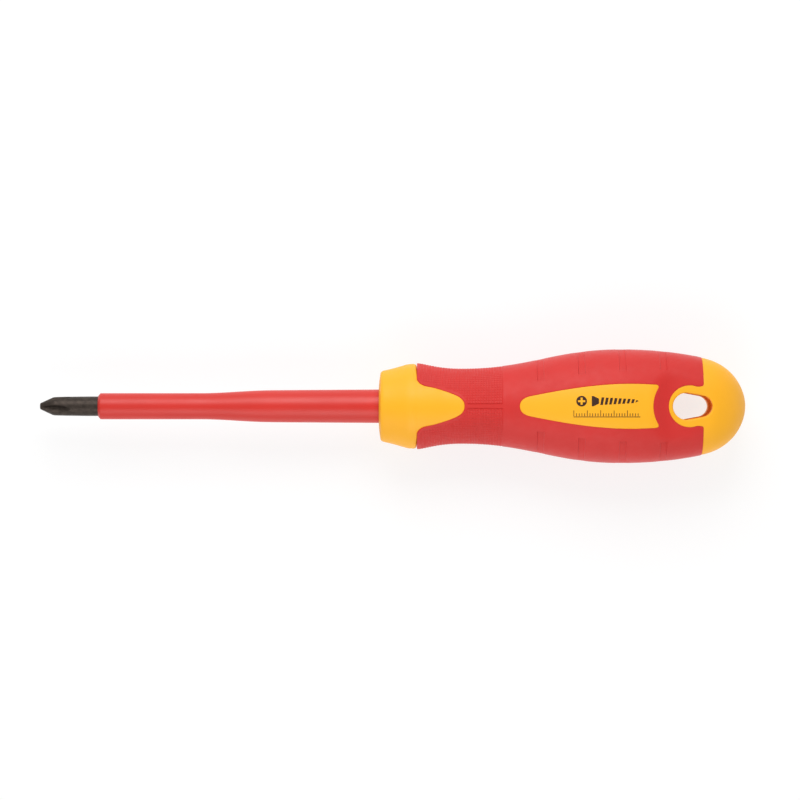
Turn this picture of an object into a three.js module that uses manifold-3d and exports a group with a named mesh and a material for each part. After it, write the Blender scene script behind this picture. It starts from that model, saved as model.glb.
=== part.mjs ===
// Insulated cross-point screwdriver, 208 mm long, with a fixed blade in a three-layer moulded handle.
//
// Units are millimetres. The origin is the centre of the blunt end of the point. +X runs along the
// blade to the end of the handle, and Z is the axis of the hanging hole, so the two broad faces of
// the handle look along +Z and -Z. The tool is the same on both faces.

import * as THREE from 'three';
import { mergeVertices } from 'three/addons/utils/BufferGeometryUtils.js';
import Module from 'manifold-3d';

const wasm = await Module();
wasm.setup();

// ---------------------------------------------------------------- driving dimensions

const OVERALL_LENGTH = 208.1;
const BLADE_LENGTH = 100;
const GAP = 0.3;
const ROUND_SEGMENTS = 32;

// Cross sections of the handle: corners in each quarter, and the angle that half a flat takes up.
const QUARTER_CORNERS = 8;
const SECTION_CORNERS = 4 * QUARTER_CORNERS;
const FLAT_HALF_ANGLE = THREE.MathUtils.degToRad(10);
const FLAT_LIMIT = Math.cos(FLAT_HALF_ANGLE) - 1e-6;

// Blade: a round bar with a cross point of size 2 and a flattened stretch that keys it in the handle.
const BAR_RADIUS = 2.88;
const POINT_END_RADIUS = 0.85;
const POINT_CONE_LENGTH = 3.7;
const POINT_CONE_RADIUS = 2.6;
const POINT_SHOULDER = [[4.5, 2.75], [9, 2.82], [13, 2.88]];
const POINT_TURN = THREE.MathUtils.degToRad(-28);
const FLUTE_COUNT = 4;
const FLUTE_ROOT_RADIUS = 0.82;
const FLUTE_TILT = THREE.MathUtils.degToRad(10.5);
const FLUTE_HALF_ANGLE = THREE.MathUtils.degToRad(46);
const FLUTE_DEPTH = 4;
const FLUTE_LEAD = 1;
const FLUTE_LENGTH = 16;
const BLADE_TAIL = 166;
const TAIL_CHAMFER = 1;
const KEY_START = 140;
const KEY_LENGTH = 12;
const KEY_WIDTH = 8.8;
const KEY_THICKNESS = 3.2;

// Sleeve: moulded over the blade, stepped up by a long taper towards the handle.
const SLEEVE_START = 17;
const SLEEVE_NOSE = 0.8;
const SLEEVE_NOSE_RADIUS = 3.25;
const SLEEVE_RADIUS = 3.86;
const SLEEVE_TAPER_START = 48.5;
const SLEEVE_TAPER_MIDDLE = 68.5;
const SLEEVE_MIDDLE_RADIUS = 4.73;
const SLEEVE_REAR_RADIUS = 4.92;
const SLEEVE_END = 120;

// Handle: where the collar, the soft grip and the end cap meet.
const COLLAR_FRONT = 99.9;
const FRONT_SEAM = 111.2;
const REAR_SEAM = 195;
const GRIP_THICKNESS = 2;
const GRIP_STANDS_PROUD = 0.2;
const CORE_INSET = 4.3;
const CORE_FRONT = 106;
const CORE_END = 200.5;

// Half the handle's width along its length.
const COLLAR_FACE_RADIUS = 9.5;
const COLLAR_REAR_RADIUS = 12.35;
const GRIP_FRONT_HALF_WIDTH = 12.7;
const NECK_X = 124.5;
const NECK_HALF_WIDTH = 11.1;
const BELLY_X = 171.3;
const BELLY_HALF_WIDTH = 16.75;
const GRIP_REAR_HALF_WIDTH = 14.45;
const CAP_FRONT_HALF_WIDTH = 14.32;
const END_FACE_X = OVERALL_LENGTH - 0.02;
const END_FACE_HALF_WIDTH = 0.9;

// Flat faces round the hanging hole.
const PAD_HALF_THICKNESS = 11.5;
const PAD_START = 187;
const PAD_RUN_IN = 20;

// Hanging hole: a big arc towards the blade and a small arc towards the end, joined by straight sides.
const HOLE_BIG_X = 190;
const HOLE_BIG_RADIUS = 3.96;
const HOLE_SMALL_X = 194.55;
const HOLE_SMALL_RADIUS = 3.14;
const HOLE_ARC_STEPS = 10;

// Hard eye round the hole, with a neck back to the end cap, and the arc across the end of the label
// panel that runs round it.
const EYE_X = 190.95;
const EYE_RADIUS = 6.17;
const EYE_NECK_AHEAD = 2;
const EYE_NECK_HALF_WIDTH = 6.3;
const PANEL_ARC_X = 190.2;
const PANEL_ARC_RADIUS = 10;
const PANEL_EAR = 5.3;

// The tongue behind the collar, and the label panel.
const TONGUE_TIP_X = 125.1;
const TONGUE_ROOT_HALF_WIDTH = 8.1;
const PANEL_NOSE_X = 141.2;
const PANEL_WIDEST_X = 175;
const PANEL_HALF_WIDTH = 6.65;

// Shallow cross grooves in the belly of the grip.
const GROOVE_STARTS = [146.3, 158.3, 170.3, 182.3];
const GROOVE_INNER_ENDS = [7.4, 9.2, 10.2, 10.2];
const GROOVE_WIDTH = 2.1;
const GROOVE_DEPTH = 0.3;

// ---------------------------------------------------------------- small helpers

const point = (x, y) => new THREE.Vector2(x, y);

const bezier = (start, startPull, endPull, end) =>
  new THREE.CubicBezierCurve(point(...start), point(...startPull), point(...endPull), point(...end));

// The height of a chain of curves over x, where every curve runs from left to right.
function heightOver(curves, x) {
  const curve = curves.find((c) => x <= c.v3.x) ?? curves.at(-1);
  let low = 0;
  let high = 1;
  for (let step = 0; step < 40; step += 1) {
    const middle = (low + high) / 2;
    if (curve.getPoint(middle).x < x) {
      low = middle;
    } else {
      high = middle;
    }
  }
  return curve.getPoint(low).y;
}

function solidFromGeometry(geometry) {
  const bare = geometry.clone();
  bare.deleteAttribute('normal');
  bare.deleteAttribute('uv');
  const merged = mergeVertices(bare, 1e-5);
  const index = Array.from(merged.index.array);
  const triangles = [];
  for (let i = 0; i < index.length; i += 3) {
    const [a, b, c] = index.slice(i, i + 3);
    if (a !== b && b !== c && c !== a) {
      triangles.push(a, b, c);
    }
  }
  return new wasm.Manifold(new wasm.Mesh({
    numProp: 3,
    vertProperties: new Float32Array(merged.attributes.position.array),
    triVerts: new Uint32Array(triangles),
  }));
}

function geometryFromSolid(solid) {
  const mesh = solid.getMesh();
  const geometry = new THREE.BufferGeometry();
  geometry.setAttribute('position', new THREE.BufferAttribute(new Float32Array(mesh.vertProperties), 3));
  geometry.setIndex(new THREE.BufferAttribute(new Uint32Array(mesh.triVerts), 1));
  const flat = geometry.toNonIndexed();
  flat.computeVertexNormals();
  return flat;
}

// A body of revolution about X from an outline of [x, radius] pairs.
function revolved(outline) {
  const geometry = new THREE.LatheGeometry(outline.map(([x, radius]) => point(radius, x)), ROUND_SEGMENTS);
  geometry.rotateZ(-Math.PI / 2);
  return solidFromGeometry(geometry);
}

// A flat outline in X and Y, extruded along Z to both sides of the middle.
function throughPrism(outline, halfHeight = 30) {
  const geometry = new THREE.ExtrudeGeometry(new THREE.Shape(outline), {
    depth: 2 * halfHeight,
    bevelEnabled: false,
  });
  geometry.translate(0, 0, -halfHeight);
  return solidFromGeometry(geometry);
}

function block(xFrom, xTo, yFrom, yTo, zFrom, zTo) {
  const geometry = new THREE.BoxGeometry(xTo - xFrom, yTo - yFrom, zTo - zFrom);
  geometry.translate((xFrom + xTo) / 2, (yFrom + yTo) / 2, (zFrom + zTo) / 2);
  return solidFromGeometry(geometry);
}

const slab = (xFrom, xTo) => block(xFrom, xTo, -40, 40, -40, 40);

// Moves a closed outline outwards by a distance, or inwards by a negative one.
function grown(outline, distance) {
  const turn = THREE.ShapeUtils.isClockWise(outline) ? -1 : 1;
  return outline.map((here, i) => {
    const before = outline.at(i - 1);
    const after = outline[(i + 1) % outline.length];
    const along = after.clone().sub(before).normalize();
    return point(here.x + along.y * distance * turn, here.y - along.x * distance * turn);
  });
}

// Closes a half outline that starts and ends on the X axis with its mirror image.
function mirrored(half) {
  const other = half.slice(1, -1).reverse().map((p) => point(p.x, -p.y));
  return [...half, ...other];
}

function arc(x, y, radius, fromDegrees, toDegrees, steps) {
  const from = THREE.MathUtils.degToRad(fromDegrees);
  const to = THREE.MathUtils.degToRad(toDegrees);
  const curve = new THREE.ArcCurve(x, y, radius, from, to, to < from);
  return curve.getPoints(steps);
}

// ---------------------------------------------------------------- the handle's shape

const COLLAR_OUTLINE = [
  bezier([COLLAR_FRONT, COLLAR_FACE_RADIUS], [100.1, 10.2], [100.7, 10.35], [101.6, 10.54]),
  bezier([101.6, 10.54], [103.9, 11.02], [106, 11.65], [108, 12.24]),
  bezier([108, 12.24], [109, 12.5], [110.2, 12.55], [FRONT_SEAM, COLLAR_REAR_RADIUS]),
];
const GRIP_OUTLINE = [
  bezier(
    [FRONT_SEAM, GRIP_FRONT_HALF_WIDTH],
    [113.6, GRIP_FRONT_HALF_WIDTH],
    [116.9, NECK_HALF_WIDTH],
    [NECK_X, NECK_HALF_WIDTH],
  ),
  bezier(
    [NECK_X, NECK_HALF_WIDTH],
    [144.4, NECK_HALF_WIDTH],
    [151.6, BELLY_HALF_WIDTH],
    [BELLY_X, BELLY_HALF_WIDTH],
  ),
  bezier(
    [BELLY_X, BELLY_HALF_WIDTH],
    [180.5, BELLY_HALF_WIDTH],
    [188.3, 15.85],
    [REAR_SEAM, GRIP_REAR_HALF_WIDTH],
  ),
];
const CAP_OUTLINE = [
  bezier([REAR_SEAM, CAP_FRONT_HALF_WIDTH], [204.6, 12.6], [OVERALL_LENGTH, 4.8], [OVERALL_LENGTH, 0]),
];

const ease = (x, from, to) => THREE.MathUtils.smoothstep(x, from, to);

// Half the thickness as a share of half the width: round at the neck, flatter towards the end.
const thicknessShare = (x) => 1 - 0.1 * ease(x, 126, 160) - 0.08 * ease(x, 160, 190);

// The power of the cross section: 2 is an ellipse, and more is squarer.
const sectionPower = (x) => 2 + 0.5 * ease(x, 130, 186);

// The height of the flat pads, which falls in a hollow curve from the belly.
const padHeight = (x) => PAD_HALF_THICKNESS + Math.max(0, PAD_START - x) ** 2 / PAD_RUN_IN;

// The ring has a flat, not a corner, on each of the four sides, so that the tool lies still on its face.
// The two corners beside an axis bound the flat, so they reach as far out as the curve does on the axis.
function sectionRing(x, halfWidth, inset) {
  const wide = Math.max(halfWidth - inset, 0);
  const thick = Math.max(halfWidth * thicknessShare(x) - inset, 0);
  const top = padHeight(x) - inset;
  const power = 2 / sectionPower(x);
  const reach = (share) => Math.sign(share) * (Math.abs(share) > FLAT_LIMIT ? 1 : Math.abs(share) ** power);
  const ring = [];
  for (let i = 0; i < SECTION_CORNERS; i += 1) {
    const quarter = Math.floor(i / QUARTER_CORNERS) * (Math.PI / 2);
    const along = (i % QUARTER_CORNERS) / (QUARTER_CORNERS - 1);
    const angle = quarter + THREE.MathUtils.lerp(FLAT_HALF_ANGLE, Math.PI / 2 - FLAT_HALF_ANGLE, along);
    const z = thick * reach(Math.sin(angle));
    ring.push(x, wide * reach(Math.cos(angle)), THREE.MathUtils.clamp(z, -top, top));
  }
  return ring;
}

// A closed skin through a list of {x, halfWidth} stations, the given distance inside the surface.
function loft(stations, inset = 0) {
  const positions = stations.flatMap(({ x, halfWidth }) => sectionRing(x, halfWidth, inset));
  const index = [];
  for (let s = 0; s < stations.length - 1; s += 1) {
    for (let i = 0; i < SECTION_CORNERS; i += 1) {
      const next = (i + 1) % SECTION_CORNERS;
      const [a, b] = [s * SECTION_CORNERS + i, s * SECTION_CORNERS + next];
      const [c, d] = [a + SECTION_CORNERS, b + SECTION_CORNERS];
      index.push(a, b, d, a, d, c);
    }
  }
  [0, stations.length - 1].forEach((s) => {
    const centre = positions.length / 3;
    positions.push(stations[s].x, 0, 0);
    for (let i = 0; i < SECTION_CORNERS; i += 1) {
      const a = s * SECTION_CORNERS + i;
      const b = s * SECTION_CORNERS + ((i + 1) % SECTION_CORNERS);
      index.push(...(s === 0 ? [centre, b, a] : [centre, a, b]));
    }
  });
  const geometry = new THREE.BufferGeometry();
  geometry.setAttribute('position', new THREE.Float32BufferAttribute(positions, 3));
  geometry.setIndex(index);
  return solidFromGeometry(geometry);
}

const stationsOver = (curves, places) => places.map((x) => ({ x, halfWidth: heightOver(curves, x) }));

const stepsBetween = (from, to, count) =>
  Array.from({ length: count + 1 }, (_, i) => from + ((to - from) * i) / count);

// The last millimetres of the cap close in steps that shorten towards the end.
const capPlaces = (from, to, count) =>
  Array.from({ length: count + 1 }, (_, i) => from + (to - from) * Math.sin((Math.PI / 2) * (i / count)));

const gripStations = stationsOver(GRIP_OUTLINE, stepsBetween(FRONT_SEAM, REAR_SEAM, 20));

// The same stations run on past both seams, for cutting right through the grip.
const throughGripStations = [
  { ...gripStations[0], x: FRONT_SEAM - 1 },
  ...gripStations,
  { ...gripStations.at(-1), x: REAR_SEAM + 1 },
];

const coreStations = [
  { x: CORE_FRONT, halfWidth: gripStations[0].halfWidth },
  ...gripStations.filter((_, i) => i % 2 === 0),
  ...stationsOver(CAP_OUTLINE, stepsBetween(REAR_SEAM + 1, CORE_END, 2)),
];

const hardStations = [
  ...stationsOver(COLLAR_OUTLINE, [COLLAR_FRONT, 100.3, 101.6, 104.5, 108, 109.5]),
  { x: FRONT_SEAM - GAP, halfWidth: heightOver(COLLAR_OUTLINE, FRONT_SEAM - GAP) },
  ...gripStations.map(({ x, halfWidth }) => ({ x, halfWidth: halfWidth - GRIP_STANDS_PROUD })),
  ...stationsOver(CAP_OUTLINE, capPlaces(REAR_SEAM + GAP, OVERALL_LENGTH, 9)).slice(0, -1),
  { x: END_FACE_X, halfWidth: END_FACE_HALF_WIDTH },
];

// ---------------------------------------------------------------- outlines on the broad faces

// The tongue of hard material that runs back from the collar, with a fillet at the seam.
function tongueOutline() {
  const fillet = bezier([FRONT_SEAM, TONGUE_ROOT_HALF_WIDTH], [111.6, 7.2], [112.3, 6.45], [114, 6]);
  const flank = bezier([114, 6], [117, 5.35], [120.5, 4.2], [122.6, 3.25]);
  const tip = bezier([122.6, 3.25], [124.5, 2.35], [TONGUE_TIP_X, 1.3], [TONGUE_TIP_X, 0]);
  const half = [...fillet.getPoints(4), ...flank.getPoints(3).slice(1), ...tip.getPoints(6).slice(1)];
  return mirrored([point(CORE_FRONT, 0), point(CORE_FRONT, TONGUE_ROOT_HALF_WIDTH), ...half]);
}

// The label panel: a narrow round nose, swelling sides and a hollow end round the eye.
function panelOutline() {
  const nose = bezier([PANEL_NOSE_X, 0], [PANEL_NOSE_X, 1.6], [142.3, 2.6], [144.5, 3.05]);
  const side = bezier([144.5, 3.05], [156, 5.4], [165, 6.75], [PANEL_WIDEST_X, PANEL_HALF_WIDTH]);
  const rear = bezier([PANEL_WIDEST_X, PANEL_HALF_WIDTH], [177, 6.6], [179.2, 6.47], [181.1, 6.38]);
  const startAngle = 180 - THREE.MathUtils.radToDeg(Math.asin(PANEL_EAR / PANEL_ARC_RADIUS));
  const end = arc(PANEL_ARC_X, 0, PANEL_ARC_RADIUS, startAngle, 180, 4);
  const corner = point(181.65, 6.1);
  const half = [...nose.getPoints(5), ...side.getPoints(7).slice(1), ...rear.getPoints(1).slice(1)];
  return mirrored([...half, corner, ...end]);
}

// The eye round the hanging hole, open to the end cap.
function eyeOutline() {
  const neckAngle = Math.acos(EYE_NECK_AHEAD / EYE_RADIUS);
  const round = arc(EYE_X, 0, EYE_RADIUS, 180, THREE.MathUtils.radToDeg(neckAngle), 12);
  const neck = bezier([193.3, 5.81], [193.8, 5.77], [194.4, 5.9], [REAR_SEAM, EYE_NECK_HALF_WIDTH]);
  const half = [...round, ...neck.getPoints(3)];
  return mirrored([...half, point(CORE_END, EYE_NECK_HALF_WIDTH), point(CORE_END, 0)]);
}

function holeOutline() {
  const lean = Math.acos((HOLE_BIG_RADIUS - HOLE_SMALL_RADIUS) / (HOLE_SMALL_X - HOLE_BIG_X));
  const degrees = THREE.MathUtils.radToDeg(lean);
  const big = arc(HOLE_BIG_X, 0, HOLE_BIG_RADIUS, 180, degrees, HOLE_ARC_STEPS);
  const small = arc(HOLE_SMALL_X, 0, HOLE_SMALL_RADIUS, degrees, 0, HOLE_ARC_STEPS / 2);
  return mirrored([...big, ...small]);
}

const hangingHole = throughPrism(holeOutline());
const windowOutlines = [tongueOutline(), panelOutline(), eyeOutline()];
const windows = (distance) => windowOutlines
  .map((outline) => throughPrism(grown(outline, distance)))
  .reduce((all, one) => all.add(one));

// ---------------------------------------------------------------- the pieces

function bladeSolid() {
  const bar = revolved([
    [0, 0],
    [0, POINT_END_RADIUS],
    [POINT_CONE_LENGTH, POINT_CONE_RADIUS],
    ...POINT_SHOULDER,
    [BLADE_TAIL - TAIL_CHAMFER, BAR_RADIUS],
    [BLADE_TAIL, BAR_RADIUS - TAIL_CHAMFER],
    [BLADE_TAIL, 0],
  ]);
  const key = block(
    KEY_START,
    KEY_START + KEY_LENGTH,
    -KEY_WIDTH / 2,
    KEY_WIDTH / 2,
    -KEY_THICKNESS / 2,
    KEY_THICKNESS / 2,
  );
  let blade = bar.add(key);
  for (let i = 0; i < FLUTE_COUNT; i += 1) {
    blade = blade.subtract(fluteCutter(POINT_TURN + ((i + 0.5) * 2 * Math.PI) / FLUTE_COUNT));
  }
  return blade;
}

// A long V, its root line tilted so that it runs out of the bar behind the point.
function fluteCutter(turn) {
  const halfWidth = FLUTE_DEPTH * Math.tan(FLUTE_HALF_ANGLE);
  const vee = [point(0, 0), point(halfWidth, FLUTE_DEPTH), point(-halfWidth, FLUTE_DEPTH)];
  const geometry = new THREE.ExtrudeGeometry(new THREE.Shape(vee), {
    depth: FLUTE_LENGTH,
    bevelEnabled: false,
  });
  geometry.rotateY(Math.PI / 2);
  geometry.translate(-FLUTE_LEAD, 0, 0);
  geometry.rotateZ(FLUTE_TILT);
  geometry.translate(0, FLUTE_ROOT_RADIUS, 0);
  geometry.rotateX(turn);
  return solidFromGeometry(geometry);
}

// The room that the sleeve and the blade take up inside the handle, with the gap round them.
function sleeveRoom() {
  const radius = SLEEVE_REAR_RADIUS + GAP;
  return revolved([
    [COLLAR_FRONT - 5, 0],
    [COLLAR_FRONT - 5, radius],
    [SLEEVE_END + GAP, radius],
    [SLEEVE_END + GAP, 0],
  ]);
}

function bladeRoom() {
  const radius = BAR_RADIUS + GAP;
  const bore = revolved([
    [COLLAR_FRONT, 0],
    [COLLAR_FRONT, radius],
    [BLADE_TAIL + GAP, radius],
    [BLADE_TAIL + GAP, 0],
  ]);
  const key = block(
    KEY_START - GAP,
    KEY_START + KEY_LENGTH + GAP,
    -KEY_WIDTH / 2 - GAP,
    KEY_WIDTH / 2 + GAP,
    -KEY_THICKNESS / 2 - GAP,
    KEY_THICKNESS / 2 + GAP,
  );
  return bore.add(key);
}

function sleeveSolid() {
  const inner = BAR_RADIUS + GAP;
  return revolved([
    [SLEEVE_START, inner],
    [SLEEVE_START, SLEEVE_NOSE_RADIUS],
    [SLEEVE_START + SLEEVE_NOSE, SLEEVE_RADIUS],
    [SLEEVE_TAPER_START, SLEEVE_RADIUS],
    [SLEEVE_TAPER_MIDDLE, SLEEVE_MIDDLE_RADIUS],
    [BLADE_LENGTH, SLEEVE_REAR_RADIUS],
    [SLEEVE_END, SLEEVE_REAR_RADIUS],
    [SLEEVE_END, inner],
    [SLEEVE_START, inner],
  ]);
}

function coreSolid() {
  return loft(coreStations, CORE_INSET)
    .subtract(sleeveRoom())
    .subtract(bladeRoom())
    .subtract(hangingHole);
}

function coreRoom() {
  const stations = [
    { ...coreStations[0], x: CORE_FRONT - GAP },
    ...coreStations.slice(1, -1),
    { ...coreStations.at(-1), x: CORE_END + GAP },
  ];
  return loft(stations, CORE_INSET - GAP);
}

function hardBodySolid() {
  const underGrip = loft(throughGripStations, GRIP_THICKNESS + GAP);
  const channel = slab(FRONT_SEAM - GAP, REAR_SEAM + GAP)
    .subtract(underGrip)
    .subtract(windows(-GAP));
  return loft(hardStations)
    .subtract(channel)
    .subtract(coreRoom())
    .subtract(sleeveRoom())
    .subtract(hangingHole);
}

// One groove on both edges of the handle, from the front face round to the back face.
function grooveCutter(start, innerEnd) {
  const ringed = slab(start, start + GROOVE_WIDTH).subtract(loft(gripStations, GROOVE_DEPTH));
  return ringed.subtract(block(start - 1, start + GROOVE_WIDTH + 1, -innerEnd, innerEnd, -40, 40));
}

function gripSolid() {
  const skin = loft(gripStations).subtract(loft(throughGripStations, GRIP_THICKNESS));
  return GROOVE_STARTS.reduce(
    (grip, start, i) => grip.subtract(grooveCutter(start, GROOVE_INNER_ENDS[i])),
    skin.subtract(windows(0)),
  );
}

// ---------------------------------------------------------------- materials and assembly

const finish = (color, roughness, metalness) =>
  new THREE.MeshStandardMaterial({ color, roughness, metalness });

const PIECES = [
  ['blade', bladeSolid(), finish('#463e39', 0.45, 0.9)],
  ['blade_sleeve', sleeveSolid(), finish('#e0433c', 0.4, 0)],
  ['handle_core', coreSolid(), finish('#d35a35', 0.5, 0)],
  ['handle_body', hardBodySolid(), finish('#fcbb32', 0.4, 0)],
  ['soft_grip', gripSolid(), finish('#dc4a46', 0.6, 0)],
];

const screwdriver = new THREE.Group();
screwdriver.name = 'insulated_screwdriver';
PIECES.forEach(([name, solid, material]) => {
  const mesh = new THREE.Mesh(geometryFromSolid(solid), material);
  mesh.name = name;
  screwdriver.add(mesh);
});

export default screwdriver;
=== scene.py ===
"""Looks of the insulated screwdriver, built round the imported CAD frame.

The tool lies along +X with a broad face up. Every moulded layer is made again as a fine closed mesh on
the same outlines as the CAD part. Shapes are worked out in millimetres and written to Blender in metres.
One quarter of the handle is meshed (y and z above 0) and mirrored, because the handle has both symmetries.
"""

import math

import bmesh
import bpy
import numpy as np
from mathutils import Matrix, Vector
from mathutils.geometry import delaunay_2d_cdt


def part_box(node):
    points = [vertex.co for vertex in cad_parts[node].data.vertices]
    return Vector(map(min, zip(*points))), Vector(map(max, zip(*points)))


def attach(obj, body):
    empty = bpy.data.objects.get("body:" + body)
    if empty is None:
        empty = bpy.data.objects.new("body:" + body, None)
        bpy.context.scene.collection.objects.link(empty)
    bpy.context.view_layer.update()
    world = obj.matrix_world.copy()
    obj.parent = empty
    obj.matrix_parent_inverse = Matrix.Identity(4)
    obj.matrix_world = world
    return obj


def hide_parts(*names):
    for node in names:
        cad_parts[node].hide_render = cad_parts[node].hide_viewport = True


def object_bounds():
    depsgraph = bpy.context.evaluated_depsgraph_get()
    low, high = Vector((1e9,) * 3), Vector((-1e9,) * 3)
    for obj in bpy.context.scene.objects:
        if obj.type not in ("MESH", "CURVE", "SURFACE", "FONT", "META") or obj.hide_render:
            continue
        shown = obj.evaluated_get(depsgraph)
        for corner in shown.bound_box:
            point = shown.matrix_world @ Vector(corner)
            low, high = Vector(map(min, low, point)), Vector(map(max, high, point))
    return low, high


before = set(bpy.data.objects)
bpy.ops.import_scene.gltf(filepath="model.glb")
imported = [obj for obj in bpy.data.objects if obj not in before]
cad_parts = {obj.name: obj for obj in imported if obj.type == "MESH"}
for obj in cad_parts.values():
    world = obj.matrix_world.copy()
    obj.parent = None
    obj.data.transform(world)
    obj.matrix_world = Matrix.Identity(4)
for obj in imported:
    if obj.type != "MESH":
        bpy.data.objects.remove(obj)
cad_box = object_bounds()

MM = 0.001


def box_mm(node):
    """The lowest and highest corner of a CAD node, in millimetres."""
    low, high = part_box(node)
    return np.array(low) / MM, np.array(high) / MM


# ---------------- sizes that the frame gives

HANDLE_FRONT = box_mm("handle_body")[0][0]
HANDLE_END = cad_box[1].x / MM
FRONT_SEAM = box_mm("soft_grip")[0][0]
REAR_SEAM = box_mm("soft_grip")[1][0]
SLEEVE_START = box_mm("blade_sleeve")[0][0]
SLEEVE_END = box_mm("blade_sleeve")[1][0]
BLADE_TAIL = box_mm("blade")[1][0]
CORE_FRONT = box_mm("handle_core")[0][0]
CORE_END = box_mm("handle_core")[1][0]

# ---------------- sizes of the details, in millimetres

BAR_RADIUS = 2.88
TAIL_CHAMFER = 1.0
KEY_START = 140.0
KEY_END = 152.0
KEY_HALF_WIDTH = 4.4
KEY_HALF_THICKNESS = 1.6

SLEEVE_BORE = BAR_RADIUS + 0.04
SLEEVE_RADIUS = 3.86
SLEEVE_TAPER_START = (48.0, SLEEVE_RADIUS)
SLEEVE_TAPER_END = (70.0, 4.74)
SLEEVE_REAR = (99.5, 4.95)
SLEEVE_SEGMENTS = 96

COLLAR_BORE = 5.08
COLLAR_BORE_DEPTH = 9.0
COLLAR_BORE_ROUND = 0.25
COLLAR_MOUTH_X = 100.2
COLLAR_FACE_EDGE = (100.4, 9.5)
COLLAR_CONE_START = (101.6, 10.54)
COLLAR_CONE_END = (108, 12.24)

GRIP_FRONT_HALF_WIDTH = 12.7
NECK = (124.5, 11.1)
BELLY = (171.3, 16.75)
GRIP_REAR_HALF_WIDTH = 14.45
CAP_FRONT_HALF_WIDTH = 14.32
HARD_RECESS = 0.06
HARD_FRONT_STEP = 0.29
HARD_FRONT_STEP_LENGTH = 6.0
HARD_REAR_STEP = 0.07
HARD_REAR_STEP_LENGTH = 5.0

FLATTENING_START = 126.0
FLATTENING_MIDDLE = 160.0
FLATTENING_END = 190.0
FLATTENING_AHEAD = 0.1
FLATTENING_BEHIND = 0.08
ROUND_POWER = 2.0
SQUARING = 0.5
SQUARING_START = 130.0
SQUARING_END = 186.0

PAD_HALF_THICKNESS = 11.5
PAD_START = 187.0
PAD_RUN_IN = 20.0
PAD_BLEND = 0.9
CORE_INSET = 4.3
GRIP_INNER = 1.95
CHANNEL_DEPTH = 2.05
GRIP_SEAM_ROUND = 0.16
HARD_SEAM_ROUND = 0.2
COLLAR_SEAM_ROUND = 0.75
COLLAR_ROUND_STARTS = 0.75
COLLAR_ROUND_FULL = 1.1

HOLE_BIG_X = 190.0
HOLE_BIG_RADIUS = 3.96
HOLE_SMALL_X = 194.55
HOLE_SMALL_RADIUS = 3.14
HOLE_ROUND = 0.45
HOLE_WALL_STEP = 0.04
TUNNEL_LEDGE = 1.0

EYE_X = 190.95
EYE_RADIUS = 6.17
EYE_NECK_AHEAD = 2.0
EYE_FILLET_START = (194.6, 5.98)
PANEL_ARC_X = 190.2
PANEL_ARC_RADIUS = 10.0
PANEL_EAR = 5.3
PANEL_NOSE_X = 141.2
PANEL_NOSE_END = (144.5, 3.05)
PANEL_WIDEST = (175, 6.65)
PANEL_CORNER_START = (180.6, 6.42)
TONGUE_TIP_X = 125.1
TONGUE_TIP_END = (122.6, 3.25)
TONGUE_FILLET_START = (114, 6)
TONGUE_ROOT_HALF_WIDTH = 8.1

KNURL_END = 136.15
KNURL_PITCH = 0.79
KNURL_HALF_WIDTH = 0.19
KNURL_DEPTH = 0.12
STRIP_GROOVE_DEPTH = 0.22
KNURL_MARGIN = 0.55
KNURL_FADE = 0.5
STRIP_HALF_WIDTH = 0.7

GROOVE_STARTS = (146.3, 158.3, 170.3, 182.3)
GROOVE_INNER_ENDS = (7.5, 9.3, 10.3, 10.5)
GROOVE_WIDTH = 2.1
GROOVE_DEPTH = 0.3
GROOVE_WALL = 0.14
GROOVE_MARGIN = 0.35
GROOVE_CLEARANCE = 0.15
GROOVE_FLOOR_LINES = (0.5, 1.0, 1.55)
GROOVE_FADE = 0.94
GROOVE_FADE_START = 1.05
GROOVE_FADE_END = 1.4

PARTING_HEIGHT = 0.035
PARTING_ANGLE = 0.012

# The mean radius that turns angles into lengths where the quarter surface is divided into triangles.
DOMAIN_RADIUS = 14.0
QUARTER = math.pi / 2

# ---------------- outlines


def bezier(start, start_pull, end_pull, end, count=60):
    t = np.linspace(0, 1, count + 1)[:, None]
    a, b, c, d = (np.array(p, float) for p in (start, start_pull, end_pull, end))
    return (1 - t) ** 3 * a + 3 * (1 - t) ** 2 * t * b + 3 * (1 - t) * t * t * c + t**3 * d


def arc(x, y, radius, start_degrees, end_degrees, count=60):
    angle = np.radians(np.linspace(start_degrees, end_degrees, count + 1))
    return np.column_stack([x + radius * np.cos(angle), y + radius * np.sin(angle)])


def joined(*pieces):
    """Curves end to end as one list of points, each shared end once."""
    return np.vstack([pieces[0], *[p[1:] for p in pieces[1:]]])


def distance_along(points):
    """The distance of each point of a curve from its start."""
    return np.concatenate([[0], np.cumsum(np.linalg.norm(np.diff(points, axis=0), axis=1))])


def resampled(points, count):
    """The same curve with that many evenly spaced points, its two ends kept."""
    along = distance_along(points)
    places = np.linspace(0, along[-1], count)
    return np.column_stack([np.interp(places, along, points[:, i]) for i in range(2)])


def spaced(points, step):
    """The same curve with evenly spaced points, about a step apart."""
    return resampled(points, max(2, round(distance_along(points)[-1] / step)) + 1)


GRIP_LINE = joined(
    bezier((FRONT_SEAM, GRIP_FRONT_HALF_WIDTH), (113.6, GRIP_FRONT_HALF_WIDTH), (116.9, NECK[1]), NECK, 300),
    bezier(NECK, (144.4, NECK[1]), (151.6, BELLY[1]), BELLY, 300),
    bezier(BELLY, (180.5, BELLY[1]), (188.3, 15.85), (REAR_SEAM, GRIP_REAR_HALF_WIDTH), 300),
)


def ease(x, start, end):
    """Rises smoothly from 0 to 1 between start and end."""
    t = np.clip((np.asarray(x, float) - start) / (end - start), 0, 1)
    return t * t * (3 - 2 * t)


def grip_half_width(x):
    return np.interp(x, GRIP_LINE[:, 0], GRIP_LINE[:, 1])


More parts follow.
